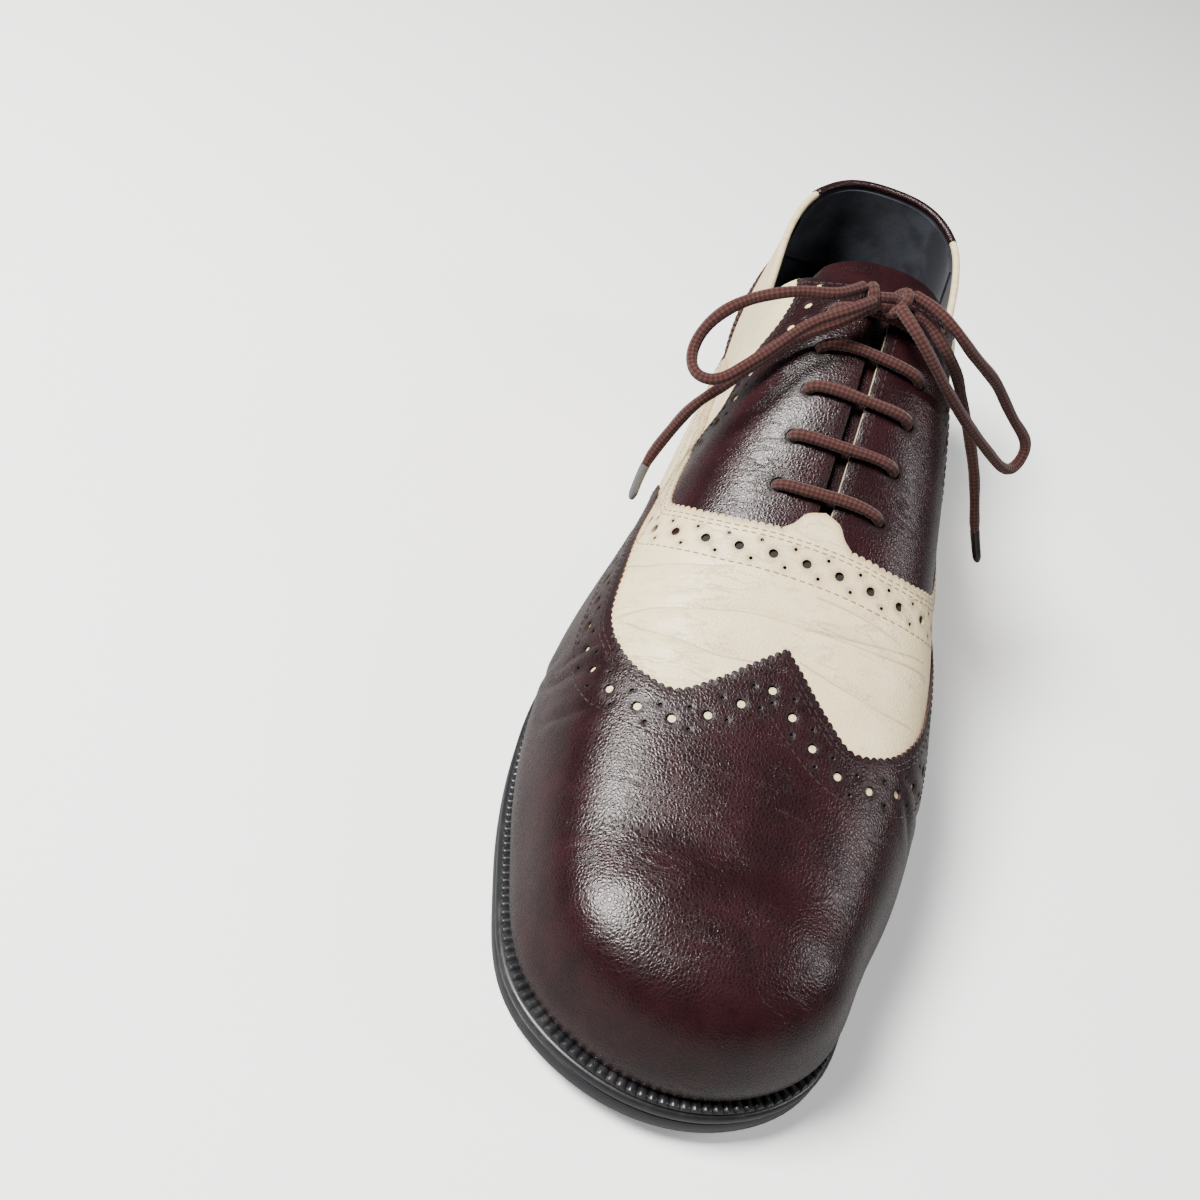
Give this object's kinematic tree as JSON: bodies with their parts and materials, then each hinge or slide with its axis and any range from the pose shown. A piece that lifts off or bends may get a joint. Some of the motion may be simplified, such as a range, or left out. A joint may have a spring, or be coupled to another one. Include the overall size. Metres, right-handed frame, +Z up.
{
  "type": "spectator shoe",
  "caption": "Right spectator shoe: two-tone full brogue lace-up oxford with wing cap, heel counter, ribbed welt and stacked heel.",
  "frame": {"origin": "middle of the shoe's footprint box on the floor", "axes": "+Z up, toe towards -Y, heel towards +Y, outer side of the foot towards -X"},
  "size_m": [0.1086, 0.303, 0.128],
  "materials": {
    "cream_leather": "satin",
    "burgundy_leather": "gloss",
    "black_rubber": "satin",
    "dark_lining": "matte",
    "brown_cotton": "matte"
  },
  "bodies": {
    "root": {"upper": "cream_leather", "vamp": "cream_leather", "wing_cap": "burgundy_leather", "heel_counter": "burgundy_leather", "facing_outer": "burgundy_leather", "facing_inner": "burgundy_leather", "tongue": "burgundy_leather", "insole": "dark_lining", "outsole": "black_rubber", "welt": "black_rubber", "ribbed_bead": "black_rubber", "heel": "black_rubber", "top_lift": "black_rubber", "lace_bar_1": "brown_cotton", "lace_bar_2": "brown_cotton", "lace_bar_3": "brown_cotton", "lace_bar_4": "brown_cotton", "lace_bar_5": "brown_cotton", "lace_knot": "brown_cotton", "lace_loop_outer": "brown_cotton", "lace_loop_inner": "brown_cotton", "lace_end_outer": "brown_cotton", "lace_end_inner": "brown_cotton", "aglet_outer": "dark_lining", "aglet_inner": "dark_lining"}
  },
  "joints": []
}
